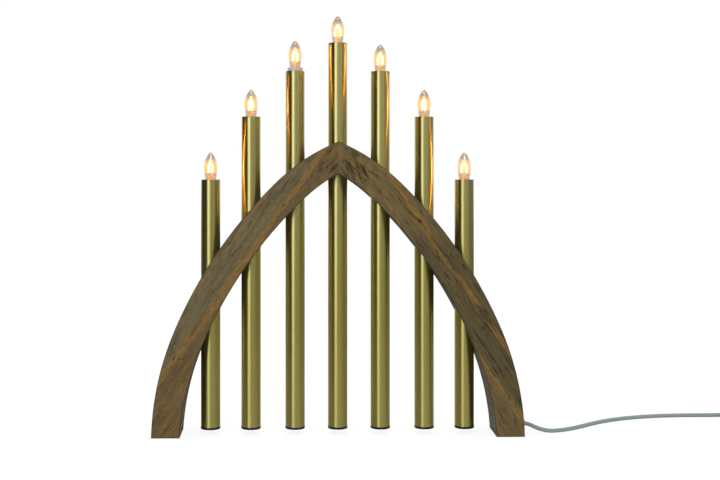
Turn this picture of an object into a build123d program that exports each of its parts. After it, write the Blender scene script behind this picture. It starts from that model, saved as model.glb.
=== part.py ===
"""Candle arch: a pointed wooden arch that carries seven brass tubes with screw-in candle bulbs.

Millimetres. +Z is up, +X is to the right and the front faces -Y. The origin lies on the
table, under the middle of the arch.
"""

import os
from collections import namedtuple
from math import cos, pi, radians, sin, tan

from build123d import *

os.makedirs("parts", exist_ok=True)

# Wooden arch
arch_width = 375.0
arch_height = 297.0
arch_depth = 45.0
foot_width = 28.4
apex_thickness = 32.3
arris = 0.8
outer_foot_lean = 1.3
inner_foot_lean = 3.7
outer_edge_shares = ((0.876, 0.362), (0.329, 0.864))
inner_edge_shares = ((0.879, 0.319), (0.227, 0.899))
dowel_diameter = 8.0
dowel_length = 36.0
dowel_drop = 3.5
dowel_fit = 0.1

# Wire groove under the arch
groove_width = 7.0
groove_depth = 11.0
rebate_width = 11.0
cover_thickness = 3.0
cover_fit = 0.1

# Brass tubes
tube_diameter = 19.6
tube_wall = 0.8
tube_rim_round = 0.3
tube_fit = 0.1
tube_place_shares = (0.2315, 0.4709, 0.6901)
centre_tube_top = 397.5
inner_tube_top = 368.7
middle_tube_top = 322.4
outer_tube_top = 258.5

# End caps of the tubes
cap_floor_gap = 5.2
cap_flange = 2.3
cap_overhang = 0.2
cap_plug_length = 8.0
cap_plug_wall = 1.6
cap_fit = 0.1
cap_round = 0.7

# Candle bulbs
bulb_diameter = 14.0
bulb_height = 27.5
bulb_belly_height = 12.8
bulb_mouth_diameter = 10.8
bulb_pip_diameter = 1.0
glass_wall = 0.6
thread_crest_diameter = 9.6
thread_depth = 0.5
thread_pitch = 1.814
thread_turns = 4
cap_wall = 0.3
skirt_step = 0.6
skirt_height = 3.0
skirt_drop = 2.0
glass_fit = 0.1
insulator_height = 2.2
tip_diameter = 3.2
tip_stand = 0.8
stem_diameter = 3.4
stem_top = 5.6
stem_flare = 2.5
lead_wire_diameter = 0.5
lead_wire_spacing = 2.4
filament_diameter = 0.8
filament_width = 5.6
mount_gap = 0.03
filament_foot = 7.4
filament_top = 16.0
filament_turns = (55, 62, 35, 0, 30, 58, 12)

# Lampholders
holder_length = 27.0
holder_gap = 1.15
holder_rise = 3.6
raised_candle = 3
rib_count = 4
rib_width = 1.6
rib_drop = 5.0
rib_fit = 0.05
mouth_clearance = 1.0
thread_clearance = 0.3
shell_wall = 0.4
shell_fit = 0.05
shell_height = 11.0
seat_gap = 0.2
contact_thickness = 0.6
contact_width = 1.2
contact_post_diameter = 2.6
contact_room = 2.6
ledge = 0.6
terminal_offset = 3.8
terminal_diameter = 1.2
terminal_length = 3.0
terminal_fit = 0.1

# Leads inside the arch
wire_diameter = 1.8
core_offset = 1.05
bend_reach = 12.0
crossover_drop = 20.0
crossover_length = 30.0
right_channel_shares = (0.13, 0.26)
upper_channel_shares = (0.5, 0.62, 0.74, 0.86)

# Mains cord
cord_diameter = 4.2
cord_exit_height = 9.4
cord_bend_share = 0.45
grip_diameter = 8.0
grip_length = 20.5
grip_nose = 4.0
grip_nose_diameter = 5.6
grip_fit = 0.05
cord_grip_hold = 7.0
cord_nose_run = 5.0
elbow_step = 0.5
coil_centre_x = 456.0
coil_centre_y = 35.0
coil_outer_radius = 30.9
coil_pitch = 5.5
coil_layer_pitch = 5.1
coil_layers = 4
coil_layer_half_turns = 4
tie_thickness = 1.0
tie_width = 6.0
tie_clearance = 0.3

# Plug
plug_x = 507.0
plug_y = 6.0
plug_length = 34.0
plug_width = 26.0
plug_thickness = 13.7
plug_waist_length = 17.0
plug_waist_width = 23.0
plug_tail_width = 11.0
plug_tail_thickness = 10.0
plug_round = 4.0
sleeve_length = 20.0
sleeve_diameter = 8.4
sleeve_end_diameter = 5.8
pin_diameter = 4.0
pin_length = 19.0
pin_spacing = 18.6
pin_round = 1.2

# One overrun serves all cuts
overrun = 2.0

half_width = arch_width / 2
tube_radius = tube_diameter / 2
tube_bore_radius = tube_radius - tube_wall
tube_bottom = cap_floor_gap + cap_flange
cord_radius = cord_diameter / 2
wire_depth = (cover_thickness + groove_depth) / 2
grip_radius = grip_diameter / 2

thread_crest_radius = thread_crest_diameter / 2
thread_root_radius = thread_crest_radius - thread_depth
cap_bore_radius = thread_root_radius - cap_wall
pip_radius = bulb_pip_diameter / 2
skirt_radius = thread_crest_radius + skirt_step
neck_radius = skirt_radius - cap_wall - glass_fit
skirt_bottom = -skirt_drop - skirt_height
neck_bottom = skirt_bottom + cap_wall + glass_fit
thread_bottom = skirt_bottom - thread_turns * thread_pitch
cap_bottom = thread_bottom - insulator_height
tip_bottom = cap_bottom - tip_stand

holder_radius = tube_bore_radius - holder_gap
shell_bore_radius = thread_crest_radius + thread_clearance
shell_radius = shell_bore_radius + shell_wall
shell_top = skirt_bottom - seat_gap
shell_bottom = shell_top - shell_height
cavity_radius = shell_radius - ledge
contact_top = tip_bottom - seat_gap
cavity_bottom = shell_bottom - contact_room

Candle = namedtuple("Candle", "number offset tube_top rise filament_turn")
offsets = [half_width * share for share in tube_place_shares]
tops = (inner_tube_top, middle_tube_top, outer_tube_top)
places = [(-offset, top) for offset, top in zip(offsets, tops)][::-1]
places += [(0, centre_tube_top)]
places += list(zip(offsets, tops))
candles = [
    Candle(number, offset, top, holder_rise if number == raised_candle else 0, turn)
    for number, ((offset, top), turn) in enumerate(zip(places, filament_turns), start=1)
]


def save(piece, name):
    """Label a finished piece and write it to its own file."""
    piece.part.label = name
    export_step(piece.part, f"parts/{name}.step")


# Outline of the arch


def arch_edge(side, half, height, lean, shares):
    """Tangent arcs of one half of an arch outline, from the foot up to the middle."""
    points = [Vector(side * half, 0)]
    points += [Vector(side * half * across, height * up) for across, up in shares]
    points += [Vector(0, height)]
    heading = Vector(-side * sin(radians(lean)), cos(radians(lean)))
    arcs = []
    for start, end in zip(points, points[1:]):
        arcs.append(TangentArc(start, end, tangent=heading))
        heading = arcs[-1] % 1
    return arcs


def outer_edge(side):
    """Upper edge of one arm."""
    return arch_edge(side, half_width, arch_height, outer_foot_lean, outer_edge_shares)


def under_edge(side, depth):
    """Under edge of one arm, moved into the wood by a depth."""
    half = half_width - foot_width + depth
    height = arch_height - apex_thickness + depth
    return arch_edge(side, half, height, inner_foot_lean, inner_edge_shares)


def arch_band(upper, lower, width):
    """Slice of one half of the arch between two edges, centred in the depth."""
    with BuildPart() as band:
        with BuildSketch(Plane.XZ):
            with BuildLine():
                add(upper)
                add(lower)
                Line(upper[0] @ 0, lower[0] @ 0)
                Line(upper[-1] @ 1, lower[-1] @ 1)
            make_face()
        extrude(amount=width / 2, both=True)
    return band.part


def trim_run(side):
    """Cut the end of a groove, slot or strip where the wires stop on that side."""
    if side < 0:
        split(bisect_by=Plane.YZ.offset(-offsets[-1]), keep=Keep.TOP)
    else:
        split(bisect_by=Plane.XY.offset(cord_exit_height - grip_radius), keep=Keep.TOP)


def groove_cut(side, top_depth, bottom_depth, width):
    """Stretch of the wire groove on one side, between two depths."""
    band = arch_band(under_edge(side, bottom_depth), under_edge(side, top_depth), width)
    with BuildPart() as groove:
        add(band)
        trim_run(side)
    return groove.part


sides = {"left": -1, "right": 1}
bore_offsets = [candle.offset for candle in candles]

# Arms of the arch

dowel_place = (tube_radius + arch_depth / 2) / 2
dowel_height = arch_height - apex_thickness / 2 - dowel_drop
dowel_places = [(-dowel_place, dowel_height), (dowel_place, dowel_height)]

for side_name, side in sides.items():
    blank = arch_band(outer_edge(side), under_edge(side, 0), arch_depth)
    rebate = groove_cut(side, -overrun, cover_thickness, rebate_width)
    groove = groove_cut(side, 0, groove_depth, groove_width)
    with BuildPart() as arm:
        add(blank)
        face_edges = arm.edges().group_by(Axis.Y)[0] + arm.edges().group_by(Axis.Y)[-1]
        chamfer(face_edges.filter_by(lambda edge: abs(edge.center().X) > arris), arris)
        with BuildSketch(Plane.XY.offset(-overrun)):
            with Locations(*[(offset, 0) for offset in bore_offsets]):
                Circle(tube_radius + tube_fit)
        extrude(amount=arch_height + overrun * 2, mode=Mode.SUBTRACT)
        with BuildSketch(Plane.YZ):
            with Locations(*dowel_places):
                Circle(dowel_diameter / 2 + dowel_fit)
        extrude(amount=side * (dowel_length / 2 + dowel_fit), mode=Mode.SUBTRACT)
        add(rebate, mode=Mode.SUBTRACT)
        add(groove, mode=Mode.SUBTRACT)
        if side > 0:
            with BuildSketch(Plane.YZ.offset(half_width - foot_width + wire_depth)):
                with Locations((0, cord_exit_height)):
                    Circle(grip_radius)
            extrude(amount=foot_width, mode=Mode.SUBTRACT)
    save(arm, f"arch_{side_name}_arm")

    strip = groove_cut(side, 0, cover_thickness - cover_fit, rebate_width - cover_fit * 2)
    with BuildPart() as covers:
        add(strip)
        with BuildSketch(Plane.XY.offset(-overrun)):
            with Locations(*[(offset, 0) for offset in bore_offsets]):
                Circle(tube_radius + tube_fit)
        extrude(amount=arch_height + overrun * 2, mode=Mode.SUBTRACT)
    save(covers, f"groove_covers_{side_name}")

with BuildPart() as dowels:
    with BuildSketch(Plane.YZ):
        with Locations(*dowel_places):
            Circle(dowel_diameter / 2)
    extrude(amount=dowel_length / 2, both=True)
    chamfer(dowels.edges().filter_by(GeomType.CIRCLE), arris)
save(dowels, "apex_dowels")

# Brass tubes and their end caps

tube_slots = [
    groove_cut(side, cover_thickness + cover_fit, groove_depth, groove_width)
    for side in sides.values()
]

for candle in candles:
    with BuildPart() as tube:
        with BuildSketch(Plane((candle.offset, 0, tube_bottom))):
            Circle(tube_radius)
            Circle(tube_bore_radius, mode=Mode.SUBTRACT)
        extrude(amount=candle.tube_top - tube_bottom)
        fillet(tube.faces().sort_by(Axis.Z)[-1].outer_wire().edges(), tube_rim_round)
        for slot in tube_slots:
            add(slot, mode=Mode.SUBTRACT)
    save(tube, f"candle_tube_{candle.number}")

with BuildPart() as end_caps:
    cap_places = [(candle.offset, 0) for candle in candles]
    with BuildSketch(Plane.XY.offset(cap_floor_gap)):
        with Locations(*cap_places):
            Circle(tube_radius + cap_overhang)
    extrude(amount=cap_flange)
    fillet(end_caps.edges().group_by(Axis.Z)[0], cap_round)
    with BuildSketch(Plane.XY.offset(tube_bottom)):
        with Locations(*cap_places):
            Circle(tube_bore_radius - cap_fit)
            Circle(tube_bore_radius - cap_fit - cap_plug_wall, mode=Mode.SUBTRACT)
    extrude(amount=cap_plug_length)
save(end_caps, "tube_end_caps")

# Lampholders


def terminal_place(candle, side):
    """Place of a holder's terminal on its left or right, seen from above."""
    return (candle.offset + side * terminal_offset, -core_offset)


def seat_of(candle):
    """Height of the top of a lampholder, from which a bulb is measured."""
    return candle.tube_top + candle.rise


for candle in candles:
    seat = seat_of(candle)
    with BuildPart() as holder:
        with BuildSketch(Plane((candle.offset, 0, seat - holder_length))):
            Circle(holder_radius)
        extrude(amount=holder_length)
        with BuildSketch(Plane((candle.offset, 0, seat - holder_length))):
            with PolarLocations(holder_radius, rib_count):
                Rectangle(holder_gap * 2, rib_width)
            Circle(tube_bore_radius - rib_fit, mode=Mode.INTERSECT)
        extrude(amount=holder_length - rib_drop)
        with BuildSketch(Plane((candle.offset, 0, seat))):
            Circle(skirt_radius + mouth_clearance)
        extrude(amount=shell_top, mode=Mode.SUBTRACT)
        with BuildSketch(Plane((candle.offset, 0, seat))):
            Circle(shell_radius + shell_fit)
        extrude(amount=shell_bottom, mode=Mode.SUBTRACT)
        with BuildSketch(Plane((candle.offset, 0, seat))):
            Circle(cavity_radius)
        extrude(amount=cavity_bottom, mode=Mode.SUBTRACT)
        with BuildSketch(Plane.XY.offset(seat - holder_length)):
            with Locations(terminal_place(candle, -1), terminal_place(candle, 1)):
                Circle(terminal_diameter / 2 + terminal_fit)
        extrude(amount=holder_length + cavity_bottom, mode=Mode.SUBTRACT)
    save(holder, f"lampholder_{candle.number}")

with BuildPart() as shells:
    for candle in candles:
        seat = seat_of(candle)
        with BuildSketch(Plane((candle.offset, 0, seat + shell_bottom))):
            Circle(shell_radius)
            Circle(shell_bore_radius, mode=Mode.SUBTRACT)
        extrude(amount=shell_height)
        with BuildSketch(Plane((candle.offset, 0, seat + shell_bottom))):
            Circle(shell_radius)
            Circle(cavity_radius - ledge * 2, mode=Mode.SUBTRACT)
        extrude(amount=shell_wall)
        with BuildSketch(Plane.XY.offset(seat + shell_bottom)):
            with Locations(terminal_place(candle, 1)):
                Circle(terminal_diameter / 2)
        extrude(amount=-(holder_length + terminal_length + shell_bottom))
save(shells, "holder_screw_shells")

with BuildPart() as contacts:
    for candle in candles:
        seat = seat_of(candle)
        strip_length = terminal_offset + terminal_diameter / 2 + contact_post_diameter / 2
        strip_middle = candle.offset + contact_post_diameter / 2 - strip_length / 2
        with BuildSketch(Plane((strip_middle, -core_offset / 2, seat + cavity_bottom))):
            Rectangle(strip_length, contact_width + core_offset)
        extrude(amount=contact_thickness)
        with BuildSketch(Plane((candle.offset, 0, seat + cavity_bottom))):
            Circle(contact_post_diameter / 2)
        extrude(amount=contact_top - cavity_bottom)
        with BuildSketch(Plane.XY.offset(seat + cavity_bottom)):
            with Locations(terminal_place(candle, -1)):
                Circle(terminal_diameter / 2)
        extrude(amount=-(holder_length + terminal_length + cavity_bottom))
save(contacts, "holder_contacts")

# Shapes of the bulbs


def glass_curve(base_radius, belly_radius, tip_height):
    """Arcs of the bulb's glass from its mouth over the belly to the flat pip at its tip."""
    belly = (belly_radius, bulb_belly_height)
    lower = TangentArc(belly, (base_radius, 0), tangent=(0, -1))
    upper = TangentArc(belly, (pip_radius, tip_height), tangent=(0, 1))
    return [lower, upper, Line((pip_radius, tip_height), (0, tip_height))]


def bulb_plane(candle):
    """Upright plane through a bulb's axis, with its origin at the holder's top."""
    return Plane((candle.offset, 0, seat_of(candle)), x_dir=(1, 0, 0), z_dir=(0, -1, 0))


def bulb_axis(candle):
    """Axis that a bulb turns about."""
    return Axis((candle.offset, 0, 0), (0, 0, 1))


outer_glass = glass_curve(bulb_mouth_diameter / 2, bulb_diameter / 2, bulb_height)
inner_glass = glass_curve(
    bulb_mouth_diameter / 2 - glass_wall, bulb_diameter / 2 - glass_wall, bulb_height - glass_wall
)
neck_bore_radius = neck_radius - glass_wall

for candle in candles:
    with BuildPart() as glass:
        with BuildSketch(bulb_plane(candle)):
            with BuildLine():
                add(outer_glass)
                add(inner_glass)
                Line((0, bulb_height), (0, bulb_height - glass_wall))
                Polyline(
                    (bulb_mouth_diameter / 2, 0),
                    (neck_radius, -skirt_drop),
                    (neck_radius, neck_bottom),
                    (neck_bore_radius, neck_bottom),
                    (neck_bore_radius, -skirt_drop),
                    (bulb_mouth_diameter / 2 - glass_wall, 0),
                )
            make_face()
        revolve(axis=bulb_axis(candle))
    save(glass, f"bulb_glass_{candle.number}")

    with BuildPart() as bulb_cap:
        with BuildSketch(bulb_plane(candle)):
            thread_points = [(thread_root_radius, skirt_bottom)]
            for turn in range(thread_turns):
                ridge_top = skirt_bottom - turn * thread_pitch
                thread_points += [
                    (thread_root_radius, ridge_top - thread_pitch / 4),
                    (thread_crest_radius, ridge_top - thread_pitch / 2),
                    (thread_root_radius, ridge_top - thread_pitch * 3 / 4),
                ]
            with BuildLine():
                Polyline(
                    (skirt_radius - cap_wall, skirt_bottom + skirt_height),
                    (skirt_radius, skirt_bottom + skirt_height),
                    (skirt_radius, skirt_bottom),
                    *thread_points,
                    (thread_root_radius, thread_bottom),
                    (cap_bore_radius, thread_bottom),
                    (cap_bore_radius, skirt_bottom + cap_wall),
                    (skirt_radius - cap_wall, skirt_bottom + cap_wall),
                    close=True,
                )
            make_face()
        revolve(axis=bulb_axis(candle))
    save(bulb_cap, f"bulb_cap_{candle.number}")

    with BuildPart() as bulb_tip:
        tip_radius = tip_diameter / 2
        with BuildSketch(bulb_plane(candle)):
            with BuildLine():
                Polyline(
                    (tip_radius, thread_bottom - glass_fit),
                    (thread_root_radius, thread_bottom - glass_fit),
                    (tip_radius * 2, cap_bottom),
                    (tip_radius, cap_bottom),
                    close=True,
                )
            make_face()
        revolve(axis=bulb_axis(candle))
        with BuildSketch(Plane((candle.offset, 0, seat_of(candle) + tip_bottom))):
            Circle(tip_radius - glass_fit)
        extrude(amount=thread_bottom - tip_bottom)
        fillet(bulb_tip.edges().group_by(Axis.Z)[0], tip_stand / 2)
    save(bulb_tip, f"bulb_tip_{candle.number}")

    turned = Plane(bulb_plane(candle).origin).rotated((0, 0, candle.filament_turn))
    upright = Plane(turned.origin, x_dir=turned.x_dir, z_dir=-turned.y_dir)
    with BuildPart() as filament:
        with BuildSketch(bulb_plane(candle)):
            with BuildLine():
                flare_radius = neck_bore_radius - glass_fit
                Polyline(
                    (0, stem_top),
                    (stem_diameter / 2, stem_top),
                    (stem_diameter / 2, neck_bottom + stem_flare),
                    (flare_radius, neck_bottom + glass_wall),
                    (flare_radius, neck_bottom),
                    (0, neck_bottom),
                    close=True,
                )
            make_face()
        revolve(axis=bulb_axis(candle))
        for side in sides.values():
            rise = (filament_foot - stem_top) / 3
            lead_foot = side * lead_wire_spacing / 2
            lead_head = side * filament_width / 2
            with BuildLine(upright) as lead_path:
                Polyline(
                    (lead_foot, stem_top + mount_gap),
                    (lead_foot, stem_top + rise),
                    (lead_head, filament_foot - rise),
                    (lead_head, filament_foot - mount_gap),
                )
            with BuildSketch(Plane(lead_path.line @ 0, z_dir=lead_path.line % 0)):
                Circle(lead_wire_diameter / 2)
            sweep(path=lead_path.line, transition=Transition.ROUND)
        with BuildLine(upright) as filament_path:
            shoulder = filament_top - filament_width / 2
            Line((-filament_width / 2, filament_foot), (-filament_width / 2, shoulder))
            ThreePointArc(
                (-filament_width / 2, shoulder), (0, filament_top), (filament_width / 2, shoulder)
            )
            Line((filament_width / 2, shoulder), (filament_width / 2, filament_foot))
        with BuildSketch(Plane(filament_path.line @ 0, z_dir=filament_path.line % 0)):
            Circle(filament_diameter / 2)
        sweep(path=filament_path.line)
    save(filament, f"bulb_filament_{candle.number}")

# Leads inside the arch


def bend_radii(points, reach=None):
    """Radius of each corner of a route, as large as its two runs or a reach allow."""
    radii = []
    for before, corner, after in zip(points, points[1:], points[2:]):
        arriving = Vector(corner) - Vector(before)
        leaving = Vector(after) - Vector(corner)
        tangent_length = cord_bend_share * min(arriving.length, leaving.length)
        if reach is not None:
            tangent_length = min(tangent_length, reach)
        radii.append(tangent_length / tan(radians(arriving.get_angle(leaving)) / 2))
    return radii


def round_tube(points, radii, diameter):
    """Round tube along straight runs joined by arcs, and the length of its path."""
    with BuildPart() as tube:
        with BuildLine() as route:
            FilletPolyline(*points, radius=radii)
        with BuildSketch(Plane(route.line @ 0, z_dir=route.line % 0)):
            Circle(diameter / 2)
        sweep(path=route.line)
    return tube.part, route.wire().length


wire_line = Wire(under_edge(1, wire_depth))
grip_inner_end = half_width + grip_nose - grip_length
cord_start = half_width + grip_nose - cord_grip_hold


def channel_height(offset):
    """Height of the middle of the wire groove at a distance from the arch's middle."""
    low, high = 0, 1
    while high - low > 1e-6:
        middle = (low + high) / 2
        if (wire_line @ middle).X > offset:
            low = middle
        else:
            high = middle
    return (wire_line @ low).Y


def channel_places(side, shares, across):
    """Places along the middle of the wire groove, at shares of its length from the foot."""
    return [Vector(side * (wire_line @ u).X, across, (wire_line @ u).Y) for u in shares]


def terminal_end(candle, side):
    """Bottom end of a holder's terminal, where its lead starts."""
    x, y = terminal_place(candle, side)
    return Vector(x, y, seat_of(candle) - holder_length - terminal_length)


def groove_turn(candle, side, across):
    """Place below a terminal where its lead turns into the groove."""
    x = terminal_end(candle, side).X
    return Vector(x, across, channel_height(abs(x)))


def lead(points):
    """Insulated lead along a route, with bends that stay within the groove and the tubes."""
    return round_tube(points, bend_radii(points, bend_reach), wire_diameter)[0]


chain = [
    lead([
        terminal_end(left, 1),
        groove_turn(left, 1, -core_offset),
        groove_turn(right, -1, -core_offset),
        terminal_end(right, -1),
    ])
    for left, right in zip(candles, candles[1:])
]
with BuildPart() as series_leads:
    add(chain)
save(series_leads, "series_leads")

elbow_x = (wire_line @ 0).X
while channel_height(elbow_x) < cord_exit_height:
    elbow_x -= elbow_step
live_points = [
    Vector(cord_start, -core_offset, cord_exit_height),
    Vector(elbow_x, -core_offset, cord_exit_height),
    *channel_places(1, right_channel_shares, -core_offset),
    groove_turn(candles[-1], 1, -core_offset),
    terminal_end(candles[-1], 1),
]
return_top = terminal_end(candles[0], -1)
return_points = [
    return_top,
    return_top - Vector(0, 0, crossover_drop),
    return_top + Vector(0, core_offset * 2, -crossover_drop - crossover_length),
    groove_turn(candles[0], -1, core_offset),
    *channel_places(-1, upper_channel_shares, core_offset),
    *channel_places(1, (1,), core_offset),
    *channel_places(1, upper_channel_shares[::-1], core_offset),
    *channel_places(1, right_channel_shares[::-1], core_offset),
    Vector(elbow_x, core_offset, cord_exit_height),
    Vector(cord_start, core_offset, cord_exit_height),
]
supply = [lead(live_points), lead(return_points)]
with BuildPart() as supply_leads:
    add(supply)
save(supply_leads, "supply_leads")

# Mains cord with its grip, coil, tie and plug

with BuildPart() as grip:
    with BuildSketch(Plane.XZ):
        with BuildLine():
            bore_line = cord_exit_height + cord_radius + grip_fit
            Polyline(
                (grip_inner_end, bore_line),
                (grip_inner_end, cord_exit_height + grip_radius - grip_fit),
                (half_width, cord_exit_height + grip_radius - grip_fit),
                (half_width + grip_nose, cord_exit_height + grip_nose_diameter / 2),
                (half_width + grip_nose, bore_line),
                close=True,
            )
        make_face()
    revolve(axis=Axis((0, 0, cord_exit_height), (1, 0, 0)))
save(grip, "cord_grip")

coil_floor = tie_thickness + tie_clearance + cord_radius
coil_start = Vector(coil_centre_x, coil_centre_y + coil_outer_radius, coil_floor)
coil_lead_in = Vector(cord_diameter, 0, 0)

run_points = [
    Vector(cord_start, 0, cord_exit_height),
    Vector(half_width + grip_nose + cord_nose_run, 0, cord_exit_height),
    Vector(207.5, 0.3, 4.2),
    Vector(220, 2, cord_radius),
    Vector(235, 8, cord_radius),
    Vector(254, 21.5, cord_radius),
    Vector(276, 39.5, cord_radius),
    Vector(305, 55, cord_radius),
    Vector(340, 65, cord_radius),
    Vector(377, 69, cord_radius),
    Vector(409, 68, cord_radius),
    Vector(431, coil_start.Y, coil_floor),
    coil_start - coil_lead_in,
]
run_radii = bend_radii(run_points)
cord_run_part, run_length = round_tube(run_points, run_radii, cord_diameter)
with BuildPart() as cord_run:
    add(cord_run_part)
save(cord_run, "cord_run")


def coil_joints():
    """Distance from the coil's middle and height at each end of its half turns."""
    radius = coil_outer_radius
    height = coil_floor
    joints = [(radius, height)]
    step = -coil_pitch / 2
    for layer in range(coil_layers):
        if layer > 0:
            height += coil_layer_pitch
            joints.append((radius, height))
        for _ in range(coil_layer_half_turns + (layer == 0)):
            radius += step
            joints.append((radius, height))
        step = -step
    return joints


def half_turn_points():
    """Start, middle and end of each half turn of the coil, clockwise from above."""
    turns = []
    joints = coil_joints()
    for index, (start, end) in enumerate(zip(joints, joints[1:])):
        sign = -1 if index % 2 else 1
        first = Vector(coil_centre_x, coil_centre_y + sign * start[0], start[1])
        last = Vector(coil_centre_x, coil_centre_y - sign * end[0], end[1])
        bulge = Vector(sign * (last - first).length / 2, 0, 0)
        turns.append((first, (first + last) / 2 + bulge, last))
    return turns


turns = half_turn_points()
coil_end = turns[-1][2]
with BuildPart() as cord_coil:
    with BuildLine() as coil_line:
        Line(coil_start - coil_lead_in, coil_start)
        for turn_points in turns:
            ThreePointArc(*turn_points)
        Line(coil_end, coil_end + coil_lead_in)
    with BuildSketch(Plane(coil_line.line @ 0, z_dir=coil_line.line % 0)):
        Circle(cord_radius)
    sweep(path=coil_line.line)
save(cord_coil, "cord_coil")

with BuildPart() as tie:
    bundle_inner = coil_outer_radius - coil_pitch / 2 * (coil_layer_half_turns + 1) - cord_radius
    bundle_width = coil_outer_radius + cord_radius - bundle_inner + tie_clearance * 2
    bundle_height = coil_layer_pitch * (coil_layers - 1) + cord_diameter + tie_clearance * 2
    tie_x = coil_centre_x - bundle_inner + tie_clearance - bundle_width / 2
    tie_z = tie_thickness + bundle_height / 2
    with BuildSketch(Plane((tie_x, coil_centre_y, tie_z), x_dir=(1, 0, 0), z_dir=(0, -1, 0))):
        RectangleRounded(
            bundle_width + tie_thickness * 2, bundle_height + tie_thickness * 2, tie_thickness * 2
        )
        RectangleRounded(bundle_width, bundle_height, tie_thickness, mode=Mode.SUBTRACT)
    extrude(amount=tie_width / 2, both=True)
save(tie, "cord_tie")

plug_height = plug_thickness / 2
tail_points = [
    coil_end + coil_lead_in,
    Vector(478, coil_end.Y, coil_end.Z),
    Vector(495, 57, 13.6),
    Vector(505, 42, 9),
    Vector(plug_x, 24, plug_height),
    Vector(plug_x, plug_y, plug_height),
]
tail_radii = bend_radii(tail_points)
cord_tail_part, tail_length = round_tube(tail_points, tail_radii, cord_diameter)
with BuildPart() as cord_tail:
    add(cord_tail_part)
save(cord_tail, "cord_tail")


def plug_plane(distance):
    """Plane across the plug, at a distance from the end of its sleeve towards the pins."""
    origin = (plug_x, plug_y - distance, plug_height)
    return Plane(origin, x_dir=(1, 0, 0), z_dir=(0, -1, 0))


plug_face = sleeve_length + plug_length
with BuildPart() as plug:
    with BuildSketch(plug_plane(0)):
        Circle(sleeve_end_diameter / 2)
    with BuildSketch(plug_plane(sleeve_length)):
        Circle(sleeve_diameter / 2)
    loft()
    with BuildSketch(plug_plane(sleeve_length)):
        RectangleRounded(plug_tail_width, plug_tail_thickness, plug_round)
    with BuildSketch(plug_plane(sleeve_length + plug_waist_length)):
        RectangleRounded(plug_waist_width, plug_thickness, plug_round)
    loft()
    with BuildSketch(plug_plane(sleeve_length + plug_waist_length)):
        RectangleRounded(plug_waist_width, plug_thickness, plug_round)
    with BuildSketch(plug_plane(plug_face)):
        RectangleRounded(plug_width, plug_thickness, plug_round)
    loft()
save(plug, "plug_body")

with BuildPart() as pins:
    with BuildSketch(plug_plane(plug_face)):
        with Locations((-pin_spacing / 2, 0), (pin_spacing / 2, 0)):
            Circle(pin_diameter / 2)
    extrude(amount=pin_length)
    fillet(pins.edges().group_by(Axis.Y)[0], pin_round)
save(pins, "plug_pins")

# Measures of the cord


def least_gap(line, diameter, spacing_share=0.5, neighbour_share=4):
    """Least distance between stretches of a tube that aren't neighbours, from points along it."""
    count = int(line.length / (diameter * spacing_share))
    points = [line @ (index / count) for index in range(count + 1)]
    skip = int(neighbour_share / spacing_share)
    distances = [
        (points[first] - points[second]).length
        for first in range(len(points))
        for second in range(first + skip, len(points))
    ]
    return min(distances) - diameter


section = pi * cord_radius**2
coil_length = coil_line.wire().length
print("run radii", [round(radius, 1) for radius in run_radii])
print("tail radii", [round(radius, 1) for radius in tail_radii])
print("coil least gap", round(least_gap(coil_line.wire(), cord_diameter), 2))
for name, piece, length in (
    ("run", cord_run, run_length),
    ("coil", cord_coil, coil_length),
    ("tail", cord_tail, tail_length),
):
    print(name, "length", round(length, 1), "volume share", round(piece.part.volume / section / length, 4))
print("cord length", round(run_length + coil_length + tail_length, 1))
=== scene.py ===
"""Looks of the candle arch: stained pine, brushed brass, lit candle bulbs and a grey cord.

Metres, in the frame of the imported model: +Z is up, +X is to the right and the front faces -Y.
Sizes in fields and constants whose names say so are in millimetres.
"""

import logging
import math
from collections.abc import Mapping, Sequence
from dataclasses import dataclass, field
from enum import Enum

import bmesh
import bpy
from mathutils import Matrix, Vector


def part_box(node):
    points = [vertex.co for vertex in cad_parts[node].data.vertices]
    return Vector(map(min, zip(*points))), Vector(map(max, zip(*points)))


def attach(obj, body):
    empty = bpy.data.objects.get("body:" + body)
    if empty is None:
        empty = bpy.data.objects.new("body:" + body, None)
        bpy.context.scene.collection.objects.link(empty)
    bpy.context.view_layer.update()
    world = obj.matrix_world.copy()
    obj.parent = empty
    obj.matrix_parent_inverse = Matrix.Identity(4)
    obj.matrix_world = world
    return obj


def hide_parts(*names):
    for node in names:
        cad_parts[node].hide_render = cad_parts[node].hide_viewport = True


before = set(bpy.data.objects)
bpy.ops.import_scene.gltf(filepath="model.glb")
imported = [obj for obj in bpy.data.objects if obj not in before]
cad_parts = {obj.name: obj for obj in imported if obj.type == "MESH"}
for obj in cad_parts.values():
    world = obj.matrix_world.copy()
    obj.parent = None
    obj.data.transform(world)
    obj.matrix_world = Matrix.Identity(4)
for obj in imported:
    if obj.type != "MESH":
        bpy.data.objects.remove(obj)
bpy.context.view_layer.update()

logging.basicConfig(level=logging.INFO, format="%(message)s")
LOG = logging.getLogger("candle_arch")

MM = 0.001
ARCH_BODY = "arch"
CANDLE_NUMBERS = range(1, 8)
FILAMENT_DEGREES = (55, 62, 35, 0, 30, 58, 12)
GLASS_IOR = 1.5
MERGE_DISTANCE = 1e-6
SHARP_DEGREES = 40

Colour = tuple[float, float, float, float]
Point = tuple[float, float, float]
Tree = bpy.types.NodeTree
Node = bpy.types.Node
Socket = bpy.types.NodeSocket

WHITE: Colour = (1.0, 1.0, 1.0, 1.0)

# Settings and sockets that the finishes share.
SMOOTH_STEP = {"interpolation_type": "SMOOTHSTEP"}
COLOUR_MIX = {"data_type": "RGBA"}
MIX_FACTOR = 0
MIX_UNDER = 6
MIX_OVER = 7
MIX_RESULT = 2


class Side(Enum):
    """Side of the arch, seen from the front."""

    LEFT = -1
    RIGHT = 1


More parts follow.
